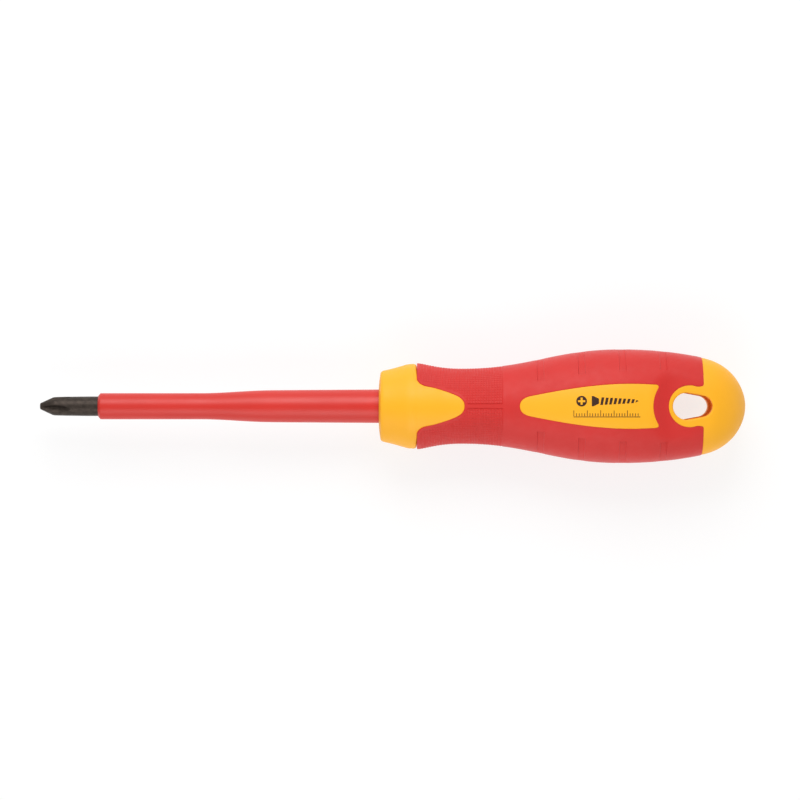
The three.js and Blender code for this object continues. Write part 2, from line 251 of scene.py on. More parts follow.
def hard_half_width(x):
    """The hard tongues, panels and eyes: just under the grip, and level with the collar and the cap."""
    front = HARD_FRONT_STEP * (1 - ease(x, FRONT_SEAM, FRONT_SEAM + HARD_FRONT_STEP_LENGTH))
    rear = HARD_REAR_STEP * ease(x, REAR_SEAM - HARD_REAR_STEP_LENGTH, REAR_SEAM)
    return grip_half_width(x) - HARD_RECESS - front - rear


def thickness_share(x):
    """Thickness over width: round ahead of the neck, flatter towards the cap."""
    ahead = FLATTENING_AHEAD * ease(x, FLATTENING_START, FLATTENING_MIDDLE)
    behind = FLATTENING_BEHIND * ease(x, FLATTENING_MIDDLE, FLATTENING_END)
    return 1 - ahead - behind


def section_power(x):
    """The power of the section's superellipse: round in front, squarer behind."""
    return ROUND_POWER + SQUARING * ease(x, SQUARING_START, SQUARING_END)


def pad_height(x):
    """The flat pad round the hanging hole, which curves up ahead of its start."""
    return PAD_HALF_THICKNESS + np.maximum(0, PAD_START - x) ** 2 / PAD_RUN_IN


def soft_minimum(a, b, blend):
    """The smaller value, with the corner where they meet rounded off."""
    share = np.clip(0.5 + 0.5 * (b - a) / blend, 0, 1)
    return b + (a - b) * share - blend * share * (1 - share)


def on_section(x, psi, half_width, inset=0.0):
    """Points of the sections at x. psi is 0 on the broad face's centre line, a quarter turn at the side."""
    wide = np.maximum(half_width - inset, 0)
    thick = np.maximum(half_width * thickness_share(x) - inset, 0)
    power = section_power(x)
    s, c = np.sin(psi), np.cos(psi)
    reach = (np.abs(s) ** power + np.abs(c) ** power) ** (-1 / power)
    z = soft_minimum(thick * reach * np.abs(c), pad_height(x) - inset, PAD_BLEND)
    return np.stack([x + 0 * psi, wide * reach * s, z * np.sign(c)], axis=-1)


def psi_at(x, y, half_width):
    """The section angle of the point y off the centre line."""
    power = section_power(x)
    share = np.clip(np.asarray(y, float) / half_width, 1e-9, 1)
    return np.arctan2(1.0, np.maximum(share**-power - 1, 0) ** (1 / power))


class Line:
    """An outline of x and half width, measured by the distance t along it."""

    def __init__(self, points):
        self.points = points
        self.t = distance_along(points)

    def at(self, t):
        return tuple(np.interp(t, self.t, self.points[:, i]) for i in range(2))

    def t_at(self, x, first):
        """t where the outline reaches x, looking from the point numbered first onwards."""
        return np.interp(x, self.points[first:, 0], self.t[first:])


def hard_line():
    """The hard body from the blind end of its bore, out round the collar's face and along to the cap."""
    bore_end = HANDLE_FRONT + COLLAR_BORE_DEPTH
    mouth = (COLLAR_MOUTH_X, COLLAR_BORE)
    round_y = COLLAR_BORE + COLLAR_BORE_ROUND
    face = (COLLAR_MOUTH_X - COLLAR_BORE_ROUND, round_y)
    front_seam = (FRONT_SEAM, hard_half_width(FRONT_SEAM))
    x = np.linspace(FRONT_SEAM, REAR_SEAM, 600)
    return joined(
        bezier((bore_end, 0), (bore_end, 1.5), (bore_end, 3.5), (bore_end, COLLAR_BORE), 6),
        bezier((bore_end, COLLAR_BORE), (106, COLLAR_BORE), (103, COLLAR_BORE), mouth, 8),
        arc(COLLAR_MOUTH_X, round_y, COLLAR_BORE_ROUND, 270, 180, 8),
        bezier(face, (99.97, 6.5), (100.15, 8), COLLAR_FACE_EDGE, 16),
        bezier(COLLAR_FACE_EDGE, (100.47, 10.18), (100.9, 10.38), COLLAR_CONE_START, 30),
        bezier(COLLAR_CONE_START, (103.9, 11.02), (106, 11.65), COLLAR_CONE_END, 30),
        bezier(COLLAR_CONE_END, (109, 12.5), (110.2, 12.55), front_seam, 30),
        np.column_stack([x, hard_half_width(x)]),
        bezier((REAR_SEAM, CAP_FRONT_HALF_WIDTH), (204.6, 12.6), (HANDLE_END, 4.8), (HANDLE_END, 0), 200),
    )


HARD = Line(hard_line())
COLLAR_RIM = (101, 10)
COLLAR_FIRST = int(np.argmax((HARD.points > COLLAR_RIM).all(axis=1)))


def t_of(x):
    """The distance along the hard body's outline where its outer side reaches x."""
    return HARD.t_at(x, COLLAR_FIRST)


T_FRONT = float(t_of(FRONT_SEAM))
T_REAR = float(t_of(REAR_SEAM))
T_END = float(HARD.t[-1])


def surface(t, psi, of_grip):
    """Points of the hard body's or the grip's surface, t along the outline and psi round the section."""
    x, half_width = HARD.at(t)
    if of_grip:
        half_width = grip_half_width(x)
    return on_section(x, psi, half_width)


def outward(t, psi, of_grip):
    """Unit normals of the handle's surface, pointing out of the material."""
    small = 1e-3
    along = surface(t + small, psi, of_grip) - surface(t - small, psi, of_grip)
    around = surface(t, psi + small, of_grip) - surface(t, psi - small, of_grip)
    normal = np.cross(along, around)
    return normal / np.maximum(np.linalg.norm(normal, axis=1, keepdims=True), 1e-12)


# ---------------- window edges, as (x, y) on the broad face


def tongue_edge():
    """From the tongue's tip back to the seam, then out through a fillet."""
    return joined(
        bezier((TONGUE_TIP_X, 0), (TONGUE_TIP_X, 1.3), (124.5, 2.35), TONGUE_TIP_END),
        bezier(TONGUE_TIP_END, (120.5, 4.2), (117, 5.35), TONGUE_FILLET_START),
        bezier(TONGUE_FILLET_START, (112.3, 6.45), (111.6, 7.2), (FRONT_SEAM, TONGUE_ROOT_HALF_WIDTH)),
    )


def panel_edge():
    """The label panel from its nose round to the hollow end."""
    ear = (PANEL_ARC_X - math.sqrt(PANEL_ARC_RADIUS**2 - PANEL_EAR**2), PANEL_EAR)
    corner = bezier(PANEL_CORNER_START, (181.35, 6.42), (182.0, 6.15), ear, 20)
    start = math.degrees(math.asin(PANEL_EAR / PANEL_ARC_RADIUS))
    hollow = arc(PANEL_ARC_X, 0, PANEL_ARC_RADIUS, 180 - start, 180, 40)
    return joined(
        bezier((PANEL_NOSE_X, 0), (PANEL_NOSE_X, 1.6), (142.3, 2.6), PANEL_NOSE_END),
        bezier(PANEL_NOSE_END, (156, 5.4), (165, 6.75), PANEL_WIDEST),
        bezier(PANEL_WIDEST, (177, 6.6), (179.2, 6.47), PANEL_CORNER_START),
        corner,
        np.vstack([corner[-1:], hollow]),
    )


def eye_edge():
    """The eye from its front, round and along the neck to the rear seam, out through a fillet."""
    neck_x = EYE_X + EYE_NECK_AHEAD
    neck_y = math.sqrt(EYE_RADIUS**2 - EYE_NECK_AHEAD**2)
    end = math.degrees(math.atan2(neck_y, EYE_NECK_AHEAD))
    return joined(
        arc(EYE_X, 0, EYE_RADIUS, 180, end),
        bezier((neck_x, neck_y), (neck_x + 0.4, 5.74), (194.1, 5.86), EYE_FILLET_START, 20),
        bezier(EYE_FILLET_START, (195.0, 6.08), (REAR_SEAM, 6.3), (REAR_SEAM, 6.8), 12),
    )


def hole_edge(inset=0.0):
    """Half the hanging hole: the big arc, a straight side and the small arc."""
    lean = math.degrees(math.acos((HOLE_BIG_RADIUS - HOLE_SMALL_RADIUS) / (HOLE_SMALL_X - HOLE_BIG_X)))
    return joined(
        arc(HOLE_BIG_X, 0, HOLE_BIG_RADIUS - inset, 180, lean),
        arc(HOLE_SMALL_X, 0, HOLE_SMALL_RADIUS - inset, lean, 0),
    )


def to_metric(x, psi):
    """x and the distance round the section, both in millimetres."""
    return np.column_stack([x, psi * grip_half_width(x)])


SEAM_PSI_STEP = 0.03
PLANE_MARGIN = 0.004
OFFSET_KEPT = 0.93
DISTANCE_BATCH = 4000


class Edge:
    """A window's edge as points of the quarter surface, from one symmetry plane to another."""

    def __init__(self, plan, step, seam=None):
        points = spaced(plan, step)
        x = points[:, 0]
        psi = psi_at(x, np.maximum(points[:, 1], 0), grip_half_width(x))
        psi[np.abs(points[:, 1]) < 1e-9] = 0
        if seam is not None:
            rest = np.arange(psi[-1] + SEAM_PSI_STEP, QUARTER - SEAM_PSI_STEP / 3, SEAM_PSI_STEP)
            psi = np.concatenate([psi, rest, [QUARTER]])
            x = np.concatenate([x, np.full(len(rest) + 1, seam)])
        self.x, self.psi = x, psi
        self.line = to_metric(x, psi)

    def offset(self, distance):
        """Points that far to the left of the edge, in x and psi, where the offset doesn't meet itself.

        The distance is a number, or one for each point of the edge.
        """
        distance = np.broadcast_to(distance, self.x.shape)
        along = np.gradient(self.line, axis=0)
        along /= np.linalg.norm(along, axis=1, keepdims=True)
        side = np.column_stack([-along[:, 1], along[:, 0]])
        for end in (0, -1):
            side[end] = (np.sign(side[end][0]), 0)
        moved = self.line + side * distance[:, None]
        x = moved[:, 0]
        psi = moved[:, 1] / grip_half_width(x)
        psi[0] = self.psi[0]
        psi[-1] = self.psi[-1]
        keep = self.away(x, psi) > OFFSET_KEPT * np.abs(distance)
        clear = (psi > PLANE_MARGIN) & (psi < QUARTER - PLANE_MARGIN)
        clear[[0, -1]] = True
        keep &= clear
        return x[keep], psi[keep], keep

    def away(self, x, psi):
        """The distance of each point from the edge."""
        point = to_metric(x, psi)
        best = np.full(len(point), np.inf)
        a, b = self.line[:-1], self.line[1:]
        span = b - a
        length = np.maximum((span**2).sum(1), 1e-12)
        for start in range(0, len(point), DISTANCE_BATCH):
            p = point[start : start + DISTANCE_BATCH, None, :]
            share = np.clip(((p - a) * span).sum(2) / length, 0, 1)
            gap = np.linalg.norm(p - (a + share[..., None] * span), axis=2)
            best[start : start + DISTANCE_BATCH] = gap.min(1)
        return best


EDGE_STEP = 0.33
HOLE_EDGE_STEP = 0.25
TONGUE = Edge(tongue_edge(), EDGE_STEP, FRONT_SEAM)
PANEL = Edge(panel_edge(), EDGE_STEP)
EYE = Edge(eye_edge(), EDGE_STEP, REAR_SEAM)
HOLE = Edge(hole_edge(), HOLE_EDGE_STEP)
WINDOWS = (TONGUE, PANEL, EYE)

ON_GRIP, ON_COLLAR, ON_PANEL, ON_CAP, IN_HOLE = range(5)
HARD_REGIONS = (ON_COLLAR, ON_PANEL, ON_CAP)
FAR_AHEAD = 80.0


def inside_polygon(x, y, corners):
    """Which points lie inside a closed polygon."""
    inside = np.zeros(len(x), bool)
    for (ax, ay), (bx, by) in zip(corners, np.roll(corners, -1, axis=0)):
        if ay == by:
            continue
        crosses = (ay > y) != (by > y)
        inside ^= crosses & (x < ax + (y - ay) * (bx - ax) / (by - ay))
    return inside


def region_of(t, psi):
    """Where each point lies: the tongue belongs to the collar, and the eye to the cap."""
    found = np.full(len(t), ON_GRIP)
    for region, edge, far_t in (
        (ON_COLLAR, TONGUE, t_of(FRONT_SEAM) - FAR_AHEAD),
        (ON_PANEL, PANEL, None),
        (ON_CAP, EYE, T_END + 1),
        (IN_HOLE, HOLE, None),
    ):
        corners = np.column_stack([t_of(edge.x), edge.psi])
        if far_t is not None:
            corners = np.vstack([corners, [[far_t, QUARTER + 1e-6], [far_t, -1e-6]]])
        found[inside_polygon(t, psi, corners)] = region
    return found


# ---------------- sheets of triangles on the quarter surface


class Cloud:
    """Points of the quarter surface with a height off it, and the chains of them that edges must follow."""

    def __init__(self):
        self.t, self.psi, self.height, self.chains = [], [], [], []
        self.count = 0

    def add(self, t, psi, height, chain=False):
        t, psi, height = np.broadcast_arrays(np.asarray(t, float), psi, height)
        names = np.arange(self.count, self.count + t.size)
        self.t.append(t.ravel())
        self.psi.append(psi.ravel())
        self.height.append(height.ravel())
        self.count += t.size
        if chain:
            self.chains.append(names)
        return names

    def triangles(self, keep):
        """Delaunay triangles whose centres lie in the regions to keep, as indices of the points."""
        t, psi = np.concatenate(self.t), np.concatenate(self.psi)
        flat = [Vector(p) for p in np.column_stack([t, psi * DOMAIN_RADIUS])]
        edges = [(int(a), int(b)) for chain in self.chains for a, b in zip(chain, chain[1:])]
        found = delaunay_2d_cdt(flat, edges, [], 0, 1e-5, True)
        own = [(min(ids) if ids else -1) for ids in found[3]]
        faces = np.array([[own[i] for i in face] for face in found[2]])
        faces = faces[(faces >= 0).all(axis=1)]
        where = region_of(t[faces].mean(1), psi[faces].mean(1))
        return faces[np.isin(where, keep)]

    def arrays(self):
        return np.concatenate(self.t), np.concatenate(self.psi), np.concatenate(self.height)


def lip(distance, radius):
    """How far a rounded edge has fallen, at a distance from it."""
    run = np.clip(radius - distance, 0, radius)
    return -(radius - np.sqrt(np.maximum(radius**2 - run**2, 0)))


def far_from_edges(t, psi, edges, least):
    """Which points are at least that far from every edge."""
    x, _ = HARD.at(t)
    near = np.zeros(len(t), bool)
    for edge in edges:
        near |= edge.away(x, psi) < least
    return ~near


ROUNDING_SHARES = (0.1, 0.35, 0.65, 1.0, 2.0)
OTHER_EDGE_CLEARANCE = 0.2


def edge_rows(cloud, edge, side, radius):
    """The edge itself, sunk by its rounding, and rows beside it that carry the rounding."""
    radius = np.broadcast_to(radius, edge.x.shape)
    names = cloud.add(t_of(edge.x), edge.psi, -radius, chain=True)
    for share in ROUNDING_SHARES:
        distance = share * radius
        x, psi, kept = edge.offset(side * distance)
        height = lip(distance, radius)[kept]
        others = [e for e in WINDOWS + (HOLE,) if e is not edge]
        clear = far_from_edges(t_of(x), psi, others, OTHER_EDGE_CLEARANCE)
        cloud.add(t_of(x[clear]), psi[clear], height[clear])
    return names


def grid(cloud, t_lines, psi_lines, edges, regions, least, height=None):
    """A grid of points where it lies in the regions and clear of the edges."""
    t, psi = (a.ravel() for a in np.meshgrid(t_lines, psi_lines, indexing="ij"))
    keep = np.isin(region_of(t, psi), regions)
    keep[keep] = far_from_edges(t[keep], psi[keep], edges, least)
    t, psi = t[keep], psi[keep]
    cloud.add(t, psi, 0.0 if height is None else height(t, psi))


# ---------------- relief of the soft grip

KNURL_X = np.arange(KNURL_END, FRONT_SEAM + 0.6, -KNURL_PITCH)
STRIP_PSI = STRIP_HALF_WIDTH / NECK[1]
KNURL_ROWS = 21
KNURL_PSI_PITCH = (QUARTER - STRIP_PSI) / (KNURL_ROWS + 0.5)
KNURL_PSI = STRIP_PSI + KNURL_PSI_PITCH * np.arange(KNURL_ROWS + 1)
KNURL_PSI_HALF_WIDTH = KNURL_HALF_WIDTH / NECK[1]


def knurl_height(t, psi):
    """Crossed fine grooves round the waist, left out beside the tongue and on the strip behind it."""
    x, _ = HARD.at(t)
    across = np.abs(x[:, None] - KNURL_X).min(1)
    round_it = np.abs(psi[:, None] - KNURL_PSI).min(1)
    cut_x = np.clip(1 - across / KNURL_HALF_WIDTH, 0, 1)
    cut_psi = np.clip(1 - round_it / KNURL_PSI_HALF_WIDTH, 0, 1)
    by_strip = np.abs(psi - STRIP_PSI) < KNURL_PSI_HALF_WIDTH
    on_strip = psi < STRIP_PSI - KNURL_PSI_HALF_WIDTH / 2
    cut = KNURL_DEPTH * np.where(on_strip, cut_psi, np.maximum(cut_x, cut_psi))
    cut[by_strip] = STRIP_GROOVE_DEPTH * cut_psi[by_strip]
    cut[x > KNURL_END + KNURL_HALF_WIDTH / 2] = 0
    margin = ease(TONGUE.away(x, psi), KNURL_MARGIN, KNURL_MARGIN + KNURL_FADE)
    return -cut * margin


def lines_with_shoulders(centres, half_width):
    """A line along the bottom of each groove and one along each of its sides."""
    return np.sort(np.concatenate([centres - half_width, centres, centres + half_width]))


def groove_patch(cloud, start, inner_end):
    """A shallow flat-bottomed groove across the side of the belly. Returns its limits in t and psi."""
    middle = start + GROOVE_WIDTH / 2
    half_width = float(grip_half_width(middle))
    psi_end = float(psi_at(middle, inner_end, half_width))
    wall = GROOVE_WALL / half_width
    front = [-GROOVE_MARGIN, 0, GROOVE_WALL]
    rear = [GROOVE_WIDTH - GROOVE_WALL, GROOVE_WIDTH, GROOVE_WIDTH + GROOVE_MARGIN]
    t_lines = t_of(start + np.array([*front, *GROOVE_FLOOR_LINES, *rear]))
    psi_lines = np.concatenate([
        [psi_end - 3 * wall, psi_end, psi_end + wall],
        np.linspace(psi_end + 4 * wall, QUARTER, 16),
    ])
    depth_t = np.ones(len(t_lines))
    depth_t[[0, 1, -2, -1]] = 0
    depth_psi = 1 - GROOVE_FADE * ease(psi_lines, GROOVE_FADE_START, GROOVE_FADE_END)
    depth_psi[[0, 1]] = 0
    t, psi = np.meshgrid(t_lines, psi_lines, indexing="ij")
    cloud.add(t, psi, -GROOVE_DEPTH * np.outer(depth_t, depth_psi))
    return t_lines[0] - GROOVE_CLEARANCE, t_lines[-1] + GROOVE_CLEARANCE, psi_lines[0] - wall


def parting_ridge(t, psi):
    """A hair-fine mould line along the side."""
    line = PARTING_HEIGHT * np.clip(1 - (QUARTER - psi) / PARTING_ANGLE, 0, 1)
    return np.where(t > HARD.t[COLLAR_FIRST], line, 0)


PSI_STEP = 0.045
GRIP_T_STEP = 0.7
HARD_T_STEP = 0.65
KNURL_CLEARANCE = 0.42
GRIP_CLEARANCE = 0.45
HARD_CLEARANCE = 0.4
HIDDEN_T_STEP = 2.5
HIDDEN_CLEARANCE = 1.0
HIDDEN_PSI_LINES = 13
SIDE_LINES = np.array([QUARTER - 2 * PARTING_ANGLE, QUARTER - PARTING_ANGLE, QUARTER])


def psi_lines_to_side():
    """Even lines round the quarter, with close ones at the mould line."""
    last = QUARTER - 2.5 * PARTING_ANGLE
    return np.concatenate([np.linspace(0, last, round(last / PSI_STEP) + 1), SIDE_LINES])


def grip_cloud():
    """The grip's outside: seams, knurl, cross grooves and the smooth rest."""
    cloud = Cloud()
    sides = ((TONGUE, -1), (PANEL, 1), (EYE, 1))
    names = [edge_rows(cloud, edge, side, GRIP_SEAM_ROUND) for edge, side in sides]
    knurl_t = t_of(lines_with_shoulders(KNURL_X, KNURL_HALF_WIDTH))
    knurl_psi = lines_with_shoulders(KNURL_PSI, KNURL_PSI_HALF_WIDTH)
    knurl_psi = np.concatenate([[0, STRIP_PSI / 3, STRIP_PSI * 0.6], knurl_psi, [QUARTER]])
    grid(cloud, knurl_t, knurl_psi, WINDOWS, (ON_GRIP,), KNURL_CLEARANCE, knurl_height)
    limits = [groove_patch(cloud, s, e) for s, e in zip(GROOVE_STARTS, GROOVE_INNER_ENDS)]
    smooth_t = t_of(np.arange(KNURL_END + 0.5, REAR_SEAM, GRIP_T_STEP))
    t, psi = (a.ravel() for a in np.meshgrid(smooth_t, psi_lines_to_side(), indexing="ij"))
    keep = region_of(t, psi) == ON_GRIP
    for low, high, psi_low in limits:
        keep &= ~((t > low) & (t < high) & (psi > psi_low))
    t, psi = t[keep], psi[keep]
    keep = far_from_edges(t, psi, WINDOWS, GRIP_CLEARANCE)
    t, psi = t[keep], psi[keep]
    cloud.add(t, psi, parting_ridge(t, psi))
    return cloud, names


def hidden_cloud():
    """The unseen faces where the grip and the hard body meet, in few triangles on the same edges."""
    cloud = Cloud()
    names = [cloud.add(t_of(e.x), e.psi, 0.0, chain=True) for e in WINDOWS]
    t_lines = t_of(np.arange(FRONT_SEAM + 2, REAR_SEAM, HIDDEN_T_STEP))
    psi_lines = np.linspace(0, QUARTER, HIDDEN_PSI_LINES)
    grid(cloud, t_lines, psi_lines, WINDOWS, (ON_GRIP,), HIDDEN_CLEARANCE)
    return cloud, names


def hard_t_lines():
    """Close lines round the collar's rim and towards the end, wider ones between."""
    mouth = float(HARD.t[np.argmin(np.abs(HARD.points - [COLLAR_MOUTH_X, COLLAR_BORE]).sum(1))])
    bore = HARD.t[:15:3][1:]
    bore_round = np.linspace(mouth, mouth + 0.42, 5)
    face = np.linspace(mouth + 0.9, mouth + 4.2, 7)
    rim = np.linspace(mouth + 4.45, t_of(101.8), 14)
    cone = np.arange(t_of(102.2), T_FRONT - 0.2, 0.6)
    between_seams = np.arange(T_FRONT, T_REAR, HARD_T_STEP)
    cap = np.linspace(T_REAR, T_END - 0.03, 42)
    return np.concatenate([bore, bore_round, face, rim, cone, between_seams, cap])


def hard_cloud():
    """The hard body's outside, with the mouth of the hanging hole."""
    cloud = Cloud()
    on_seam = ease(TONGUE.psi, COLLAR_ROUND_STARTS, COLLAR_ROUND_FULL)
    collar_round = HARD_SEAM_ROUND + (COLLAR_SEAM_ROUND - HARD_SEAM_ROUND) * on_seam
    rounded = ((TONGUE, 1, collar_round), (PANEL, -1, HARD_SEAM_ROUND), (EYE, -1, HARD_SEAM_ROUND))
    names = [edge_rows(cloud, edge, side, radius) for edge, side, radius in rounded]
    hole = edge_rows(cloud, HOLE, 1, HOLE_ROUND)
    edges = WINDOWS + (HOLE,)
    grid(cloud, hard_t_lines(), psi_lines_to_side(), edges, HARD_REGIONS, HARD_CLEARANCE, parting_ridge)
    for t in (0, T_END):
        cloud.add([t, t], [0, QUARTER], 0.0)
    return cloud, names, hole


# ---------------- solids from the sheets


def quarter_points(cloud, of_grip, extra=0.0):
    """The cloud's points in space, each moved off the surface by its height."""
    t, psi, height = cloud.arrays()
    height = height + extra
    points = surface(t, psi, of_grip)
    moved = np.abs(height) > 1e-9
    points[moved] += outward(t[moved], psi[moved], of_grip) * height[moved, None]
    points[psi == 0, 1] = 0
    points[psi == QUARTER, 2] = 0
    return points


def finished_mesh(name, build):
    """A mesh from a closed build, with its normals pointing out."""
    bmesh.ops.recalc_face_normals(build, faces=build.faces)
    mesh = bpy.data.meshes.new(name)
    build.to_mesh(mesh)
    build.free()
    return mesh


class Solid:
    """Points and faces of a quarter, gathered from several sheets and walls."""

    def __init__(self):
        self.points, self.faces, self.count = [], [], 0

    def add(self, points, faces=()):
        """Adds points and the faces between them, and returns the points' numbers."""
        names = np.arange(self.count, self.count + len(points))
        self.points.append(np.asarray(points, float))
        self.faces += [[int(i) + self.count for i in face] for face in faces]
        self.count += len(points)
        return names

    def wall(self, upper, lower):
        """Faces between two chains of points with the same number of points."""
        for a, b, c, d in zip(upper, upper[1:], lower[1:], lower):
            self.faces.append([int(a), int(b), int(c), int(d)])

    def mesh(self, name):
        """A closed mesh of the quarter and its mirror images, in metres."""
        points = np.vstack(self.points)
        build = bmesh.new()
        for y_side, z_side in ((1, 1), (-1, 1), (1, -1), (-1, -1)):
            made = [build.verts.new(p) for p in points * MM * [1, y_side, z_side]]
            for face in self.faces:
                corners = [made[i] for i in (face if y_side * z_side > 0 else face[::-1])]
                build.faces.new(corners)
        bmesh.ops.remove_doubles(build, verts=build.verts, dist=2e-7)
        loose = [v for v in build.verts if not v.link_faces]
        bmesh.ops.delete(build, geom=loose, context="VERTS")
        return finished_mesh(name, build)


def used(points, faces):
    """The same faces on only the points they use, with the new number of each old point."""
    names = np.unique(faces)
    renumbered = np.full(len(points), -1)
    renumbered[names] = np.arange(len(names))
    return points[names], renumbered[faces], renumbered


def sheet_on(solid, faces, points, chains):
    """Adds a sheet to the solid and returns the given chains under their new numbers."""
    kept, faces, renumbered = used(points, faces)
    start = solid.count
    solid.add(kept, faces)
    return [renumbered[chain] + start for chain in chains]


def soft_grip_mesh():
    solid = Solid()
    fine, fine_edges = grip_cloud()
    coarse, coarse_edges = hidden_cloud()
    outer = sheet_on(solid, fine.triangles([ON_GRIP]), quarter_points(fine, True), fine_edges)
    inner_points = quarter_points(coarse, True, -GRIP_INNER)
    inner = sheet_on(solid, coarse.triangles([ON_GRIP])[:, ::-1], inner_points, coarse_edges)
    for upper, lower in zip(outer, inner):
        solid.wall(upper, lower)
    return solid.mesh("soft_grip_fine")


TUNNEL_ROWS = 5


def tunnel(solid, top, top_points, edge_plan, ledge_z, recessed):
    """The hanging hole's wall from its rounded mouth to a ledge, and the hidden wall behind the ledge."""
    depth = top_points[:, 2] - ledge_z
    shares = np.linspace(1, 0, TUNNEL_ROWS + 1)[1:]
    rows = [np.column_stack([edge_plan, ledge_z + depth * share]) for share in shares]
    rows += [np.column_stack([recessed, np.full(len(recessed), z)]) for z in (ledge_z, 0.0)]
    chain = top
    for row in rows:
        names = solid.add(row)
        solid.wall(chain, names)
        chain = names


def hole_plan(inset):
    """As many points of the hole's outline as its edge has, moved into the hole by a distance."""
    plan = resampled(hole_edge(inset), len(HOLE.x))
    plan[[0, -1], 1] = 0
    return plan


def handle_body_mesh():
    solid = Solid()
    fine, fine_edges, hole_chain = hard_cloud()
    coarse, coarse_edges = hidden_cloud()
    points = quarter_points(fine, False)
    *outer, mouth = sheet_on(solid, fine.triangles(HARD_REGIONS), points, [*fine_edges, hole_chain])
    channel_points = quarter_points(coarse, True, -CHANNEL_DEPTH)
    channel = sheet_on(solid, coarse.triangles([ON_GRIP]), channel_points, coarse_edges)
    for upper, lower in zip(outer, channel):
        solid.wall(upper, lower)
    ledge_z = PAD_HALF_THICKNESS - CORE_INSET
    tunnel(solid, mouth, points[hole_chain], hole_plan(0), ledge_z, hole_plan(-TUNNEL_LEDGE))
    return solid.mesh("handle_body_fine")


CORE_T_STEP = 3.0
CORE_PSI_LINES = 9
CORE_CLEARANCE = 0.8


def handle_core_mesh():
    """The core, seen only as the middle of the hanging hole's wall."""
    cloud = Cloud()
    rim = cloud.add(t_of(HOLE.x), HOLE.psi, 0.0, chain=True)
    psi_lines = np.linspace(0, QUARTER, CORE_PSI_LINES)
    ends = [cloud.add(t_of(np.full(CORE_PSI_LINES, x)), psi_lines, 0.0) for x in (CORE_FRONT, CORE_END)]
    stations = np.arange(CORE_FRONT, CORE_END, CORE_T_STEP)[1:]
    regions = (ON_GRIP, *HARD_REGIONS)
    grid(cloud, t_of(stations), psi_lines, (HOLE,), regions, CORE_CLEARANCE)
    t, psi, _ = cloud.arrays()
    x, _ = HARD.at(t)
    points = on_section(x, psi, hard_half_width(x), CORE_INSET)
    plan = hole_plan(HOLE_WALL_STEP)
    points[rim, :2] = plan
    points[psi == 0, 1] = 0
    points[psi == QUARTER, 2] = 0
    solid = Solid()
    rim, *ends = sheet_on(solid, cloud.triangles(regions), points, [rim, *ends])
    bottom = solid.add(np.column_stack([plan, np.zeros(len(plan))]))
    solid.wall(rim, bottom)
    for names, x in zip(ends, (CORE_FRONT, CORE_END)):
        middle = solid.add(np.tile([x, 0.0, 0.0], (len(names), 1)))
        solid.wall(names, middle)
    return solid.mesh("handle_core_fine")


def ring_faces(build, first, second):
    """A band of faces between two rings of the same number of points."""
    for i, j in zip(range(len(first)), [*range(1, len(first)), 0]):
        build.faces.new((first[i], first[j], second[j], second[i]))


def sleeve_mesh():
    """A body of revolution with a rounded nose and a long taper, open along its bore."""
    start = SLEEVE_START
    nose_end = (start + 0.2, 3.1)
    shoulder = (start + 0.74, 3.76)
    full = (start + 1.3, SLEEVE_RADIUS)
    outline = joined(
        bezier((start + 0.3, SLEEVE_BORE), (start + 0.12, SLEEVE_BORE), (start + 0.12, 3.0), nose_end, 6),
        bezier(nose_end, (start + 0.4, 3.35), (start + 0.6, 3.6), shoulder, 4),
        bezier(shoulder, (start + 0.84, 3.87), (start + 1.0, SLEEVE_RADIUS), full, 8),
        np.linspace(full, SLEEVE_TAPER_START, 12),
        bezier(SLEEVE_TAPER_START, (55, 3.9), (61, 4.72), SLEEVE_TAPER_END, 24),
        bezier(SLEEVE_TAPER_END, (80, 4.83), (90, 4.86), SLEEVE_REAR, 12),
        np.array([SLEEVE_REAR, (SLEEVE_END, SLEEVE_REAR[1]), (SLEEVE_END, SLEEVE_BORE)]),
    )
    build = bmesh.new()
    angles = np.linspace(0, 2 * math.pi, SLEEVE_SEGMENTS, endpoint=False)
    rings = []
    for x, radius in outline * MM:
        rings.append([build.verts.new((x, radius * math.cos(a), radius * math.sin(a))) for a in angles])
    for first, second in zip(rings, rings[1:] + rings[:1]):
        ring_faces(build, first, second)
    return finished_mesh("blade_sleeve_fine", build)


# ---------------- the blade with its cross point

POINT_END_RADIUS = 0.7
POINT_END_ROUND = 0.15
POINT_LENGTH = 14.0
POINT_TURN = math.radians(-28)
FLUTE_HALF_ANGLE = math.radians(46)
FLUTE_ROOT_RADIUS = 0.8
FLUTE_ROOT_SLOPE = 0.1
FLUTE_STRAIGHT_END = 5.3
FLUTE_RUN_OUT = 0.06
FLUTE_REACH = 9.0
FLUTE_EDGE_BLEND = 0.1
FLUTE_ROOT_BLEND = 0.09
POINT_ROWS = 150
POINT_SEGMENTS = 240

CONE_START = (POINT_END_ROUND, 0.93)
CONE_END = (3.5, 2.52)
SHOULDER_END = (5.2, 2.77)
POINT_LINE = joined(
    bezier((0, POINT_END_RADIUS), (0, 0.8), (0.05, 0.86), CONE_START, 8),
    bezier(CONE_START, (1.2, 1.43), (2.4, 2.0), CONE_END, 20),
    bezier(CONE_END, (3.95, 2.73), (4.3, 2.76), SHOULDER_END, 20),
    bezier(SHOULDER_END, (8, 2.8), (11, 2.84), (POINT_LENGTH, BAR_RADIUS), 20),
)


def flute_root(x):
    """The radius of the flutes' root line: nearly straight behind the point, then curving out."""
    run_out = FLUTE_RUN_OUT * np.maximum(x - FLUTE_STRAIGHT_END, 0) ** 2
    return FLUTE_ROOT_RADIUS + FLUTE_ROOT_SLOPE * x + run_out


